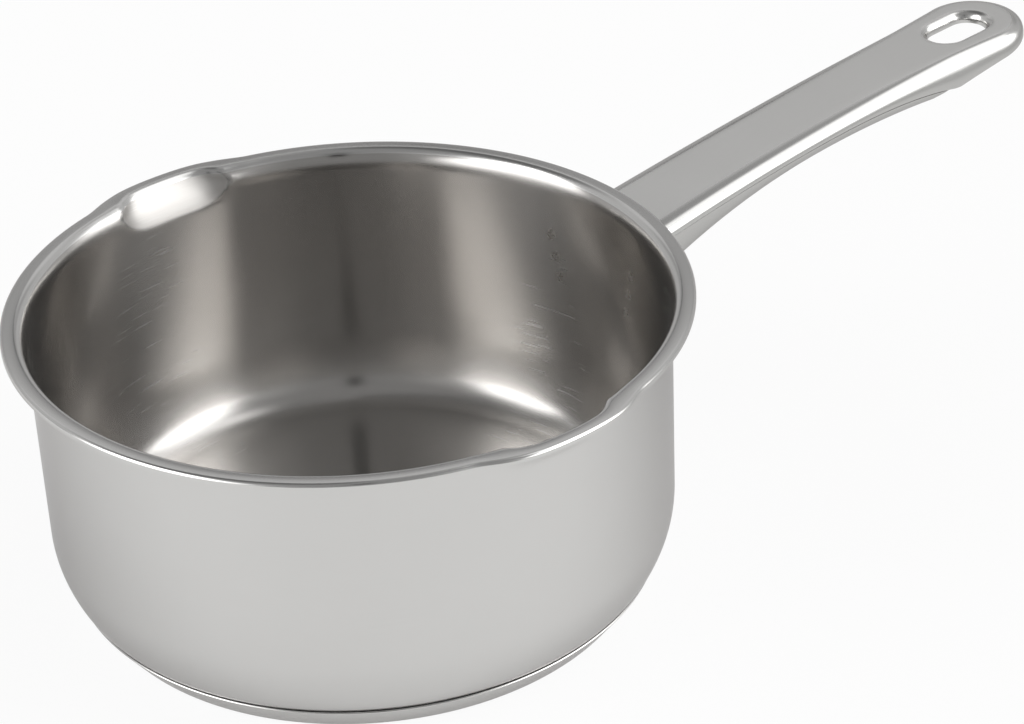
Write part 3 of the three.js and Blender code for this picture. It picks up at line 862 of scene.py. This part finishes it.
def makeWelds(name, profile, radius, facing):
    # one weld spot along +x, which the tree repeats in two columns
    rounds = weld["rounds"]
    points = []
    for r, height in profile:
        for i in range(rounds):
            turn = 2 * math.pi * i / rounds
            points.append((height, r * math.cos(turn), r * math.sin(turn)))
    faces = []
    for level in range(len(profile) - 1):
        for i in range(rounds):
            a, b = level * rounds + i, level * rounds + (i + 1) % rounds
            faces.append((a, b, b + rounds, a + rounds))
    piece = newObject(name, meshFrom(name, points, faces))
    settle(piece)
    scale = radius / plate["outside"]
    addTree(piece, weldTree, {
        "Rows": weld["rows"], "Pitch": weld["pitch"] * mm, "Top Height": weld["topHeight"] * mm,
        "Reach Top": weld["reachTop"] * scale * mm, "Reach Bottom": weld["reachBottom"] * scale * mm,
        "Radius": radius * mm, "Facing": facing, "Finish": weldMetal})
    settle(piece)
    return piece


platePiece = makePlate()
plugPiece = makeWelds("weld_plugs", weld["plug"], plate["outside"], 0.0)
markPiece = makeWelds("weld_marks", weld["mark"], vessel["insideDiameter"] / 2, math.pi)
print("root plate and welds made")

standIns = [
    (vesselPiece, "vessel_steel", ["pan_body"]),
    (capsulePiece, "vessel_steel", ["base_capsule"]),
    (upperPiece, "handle_steel", ["handle_upper_shell"]),
    (lowerPiece, "handle_steel", ["handle_lower_shell"]),
    (platePiece, "handle_steel", ["handle_root_plate"]),
    (plugPiece, "handle_steel", ["spot_weld_%d" % i for i in range(1, 7)]),
    (markPiece, "vessel_steel", []),
]
for piece, slotName, nodes in standIns:
    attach(piece, "root")
    if nodes:
        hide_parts(*nodes)

for node, material in [("heat_spreader_disc", spreaderMetal), ("lower_braze_layer", brazeMetal),
                       ("upper_braze_layer", brazeMetal)]:
    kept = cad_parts[node]
    kept.data.materials.clear()
    kept.data.materials.append(material)


# Camera

view = {"elevation": 31.4955, "distance": 742.736, "aimHeight": 45.0, "yaw": 3.1099, "pitch": -0.7637,
        "roll": 4.4612, "handleTurn": 34.0, "focal": 2905.34, "imageWidth": 1024, "sensorWidth": 36.0}


def makeCamera():
    rise = math.radians(view["elevation"])
    back = Vector((0.0, -math.cos(rise), math.sin(rise)))
    side = Vector((1.0, 0.0, 0.0))
    level = Matrix((side, back.cross(side), back))
    turned = Matrix.Identity(3)
    for key, axis in (("roll", "Z"), ("pitch", "X"), ("yaw", "Y")):
        turned = turned @ Matrix.Rotation(math.radians(view[key]), 3, axis)
    spin = Matrix.Rotation(math.radians(-view["handleTurn"]), 3, "Z")
    place = Vector((0.0, 0.0, view["aimHeight"])) + back * view["distance"]
    lens = bpy.data.cameras.new("camera")
    lens.sensor_width = view["sensorWidth"]
    lens.lens = view["focal"] * lens.sensor_width / view["imageWidth"]
    lens.clip_start = 0.01
    lens.clip_end = 100.0
    camera = newObject("camera", lens)
    turn = (spin @ (turned @ level).transposed()).to_4x4()
    camera.matrix_world = Matrix.Translation(spin @ (place * mm)) @ turn
    scene.camera = camera


makeCamera()


# Studio: white floor, and a tent of soft light round it

studio = {
    "front": 236.0,  # direction of the photographer's side, in degrees round +z from +x
    # levels of the tent; From and To are degrees away from the front, Rise is degrees above the floor
    "frontLevel": 0.31, "flankLevel": 0.5, "flankFrom": (15, 40), "rearLevel": 0.56, "rearFrom": (96, 112),
    "backLow": 0.56, "backLevel": 0.36, "backHigh": 0.68, "backFrom": (132, 152),
    "backRise": (16, 25), "backHighRise": (27, 35),
    "upperLevel": 0.14, "upperFront": 0.16, "upperRight": 0.24, "upperRise": (40, 54),
    "upperFrontTo": (50, 120), "upperRightFrom": (80, 150),
    "leftFrom": (48.0, 72.0), "leftTo": (86.0, 98.0), "rightFrom": (50.0, 72.0), "rightTo": (88.0, 112.0),
    "boxHigh": 51.0, "boxSoft": 7, "boxDrop": 4.0, "boxLevel": 4.0, "boxLean": 20.0, "boxLeanRise": (18, 44),
    "boxFoot": 1.9, "boxFootRight": 1.4, "boxFootRise": (3, 18), "middleHalf": 20,
    "topFrom": 75.0, "topTo": 132.0, "topSoft": 14, "topLow": 48.0, "topHigh": 72.0, "topRiseSoft": 6,
    "topLevel": 1.6,
    # half width of the camera's stand and of a pole behind the pan; their rises are low, high and softness
    "standHalf": 3.2, "standSoft": 0.6, "standRise": (31, 56, 4), "standDark": 1.0,
    "poleHalf": 4.0, "poleSoft": 1, "poleRise": (25, 31, 2), "poleDark": 1.0,
}

floorLook = {
    "size": 6.0, "height": -0.1, "colour": (0.82, 0.82, 0.815, 1), "glow": 0.92, "glowInMetal": 0.405,
    # the levels below paint shadow into the floor's glow that the metal mirrors: under the pan's wall, by the
    # handle, and a dark patch at the far right
    "footLevel": 0.76, "footFrom": 72 * mm, "footTo": 140 * mm,
    "sideLevel": 0.62, "sideAhead": 0.8, "sideAside": 0.6, "sideFrom": -200 * mm, "sideTo": -20 * mm,
    "darkPatchLevel": 0.12, "darkPatchFrom": 420 * mm, "darkPatchSoft": 40 * mm,
}


def makeFloor():
    f = floorLook
    half, depth = f["size"] / 2 / mm, f["height"]
    corners = [(-half, -half, depth), (half, -half, depth), (half, half, depth), (-half, half, depth)]
    floor = newObject("floor", meshFrom("floor", corners, [(0, 1, 2, 3)]))
    material = bpy.data.materials.new("paleFloor")
    material.use_nodes = True
    tree = material.node_tree
    tree.nodes.clear()
    start = Wire(tree)
    paths = start.node("ShaderNodeLightPath").socket.node.outputs
    seen = Wire(tree, paths["Is Camera Ray"]) * f["glow"]
    for name in ("Is Glossy Ray", "Is Transmission Ray"):
        seen = start.math("MAXIMUM", seen, Wire(tree, paths[name]) * f["glowInMetal"])
    # mirrored in the metal, the floor's glow carries painted shadow by the handle and a painted dark patch at
    # the far right
    x, y, _ = start.node("ShaderNodeTexCoord", None, None, "Object").axes()
    turn = math.radians(studio["front"])
    ahead = x * math.cos(turn) + y * math.sin(turn)
    aside = y * math.cos(turn) - x * math.sin(turn)
    bright = (ahead * f["sideAhead"] - aside * f["sideAside"]).ease(f["sideFrom"], f["sideTo"])
    level = f["sideLevel"] + bright * (1.0 - f["sideLevel"])
    darkPatch = aside.ease(f["darkPatchFrom"] - f["darkPatchSoft"], f["darkPatchFrom"] + f["darkPatchSoft"])
    level = level + darkPatch * (f["darkPatchLevel"] - level)
    # painted shadow: the glow seen in the metal is dimmer under the pan's wall
    clear = ((x * x + y * y) ** 0.5).ease(f["footFrom"], f["footTo"])  # dimmer under the pan's wall
    level = level * (f["footLevel"] + clear * (1.0 - f["footLevel"]))
    level = start.math("MAXIMUM", level, Wire(tree, paths["Is Camera Ray"]))
    matt = start.node("ShaderNodeBsdfDiffuse", None, {"Color": f["colour"]})
    grey = start.vector(level, level, level)
    glow = start.node("ShaderNodeEmission", None, {"Color": grey, "Strength": 1.0})
    shown = start.node("ShaderNodeMixShader", None, {0: seen, 1: matt, 2: glow})
    under = start.node("ShaderNodeNewGeometry", None, None, "Backfacing")
    hidden = start.node("ShaderNodeBsdfTransparent")
    result = start.node("ShaderNodeMixShader", None, {0: under, 1: shown, 2: hidden})
    output = tree.nodes.new("ShaderNodeOutputMaterial")
    tree.links.new(result.socket, output.inputs["Surface"])
    floor.data.materials.append(material)


def makeStudio():
    world = bpy.data.worlds.new("studio")
    scene.world = world
    world.use_nodes = True
    tree = world.node_tree
    tree.nodes.clear()
    start = Wire(tree)
    u = studio
    x, y, z = start.node("ShaderNodeTexCoord", None, None, "Generated").axes()
    turn = math.radians(u["front"])
    ahead = x * math.cos(turn) + y * math.sin(turn)
    aside = y * math.cos(turn) - x * math.sin(turn)
    heading = start.math("ARCTAN2", aside, ahead) * math.degrees(1)  # 0 is the front, right of it is positive
    away = start.math("ABSOLUTE", heading)
    rise = start.math("ARCSINE", z) * math.degrees(1)
    level = u["frontLevel"] + away.ease(*u["flankFrom"]) * (u["flankLevel"] - u["frontLevel"])
    level = level + away.ease(*u["rearFrom"]) * (u["rearLevel"] - u["flankLevel"])
    back = u["backLow"] + rise.ease(*u["backRise"]) * (u["backLevel"] - u["backLow"])
    back = back + rise.ease(*u["backHighRise"]) * (u["backHigh"] - u["backLevel"])
    level = level + away.ease(*u["backFrom"]) * (back - level)
    upper = u["upperLevel"] + heading.ease(*u["upperRightFrom"]) * u["upperRight"]
    upper = upper + (1.0 - away.ease(*u["upperFrontTo"])) * u["upperFront"]
    level = level + rise.ease(*u["upperRise"]) * (upper - level)
    stand = 1.0 - away.ease(u["standHalf"] - u["standSoft"], u["standHalf"] + u["standSoft"])
    level = level * (1.0 - stand * rise.between(*u["standRise"]) * u["standDark"])
    poleEdge = 180 - u["poleHalf"]
    pole = away.ease(poleEdge - u["poleSoft"], poleEdge + u["poleSoft"])
    level = level * (1.0 - pole * rise.between(*u["poleRise"]) * u["poleDark"])
    # soft box up on the right, then one on either side, dimmer at its foot
    top = heading.between(u["topFrom"], u["topTo"], u["topSoft"])
    top = top * rise.between(u["topLow"], u["topHigh"], u["topRiseSoft"])
    level = level + top * (u["topLevel"] - level)
    left = heading * -1.0
    toRight = heading.ease(-u["middleHalf"], u["middleHalf"])  # 0 on the left, 1 on the right
    lean = (1.0 - rise.ease(*u["boxLeanRise"])) * u["boxLean"]  # the boxes reach further round at the foot
    box = (left + lean).ease(*u["leftFrom"]) * (1.0 - left.ease(*u["leftTo"]))
    box = box + (heading + lean).ease(*u["rightFrom"]) * (1.0 - heading.ease(*u["rightTo"]))
    over = rise + (1.0 - toRight) * u["boxDrop"]  # the left one is lower
    box = box * (1.0 - over.ease(u["boxHigh"] - u["boxSoft"], u["boxHigh"] + u["boxSoft"]))
    foot = u["boxFoot"] + toRight * (u["boxFootRight"] - u["boxFoot"])
    boxLevel = foot + rise.ease(*u["boxFootRise"]) * (u["boxLevel"] - foot)
    level = level + box * (boxLevel - level)
    seen = Wire(tree, start.node("ShaderNodeLightPath").socket.node.outputs["Is Camera Ray"])
    level = level + seen * (1.0 - level)  # plain white behind the pan
    light = start.node("ShaderNodeBackground", None, {"Color": (1, 1, 1, 1), "Strength": level})
    output = tree.nodes.new("ShaderNodeOutputWorld")
    tree.links.new(light.socket, output.inputs["Surface"])


makeFloor()
makeStudio()
print("camera and studio set")
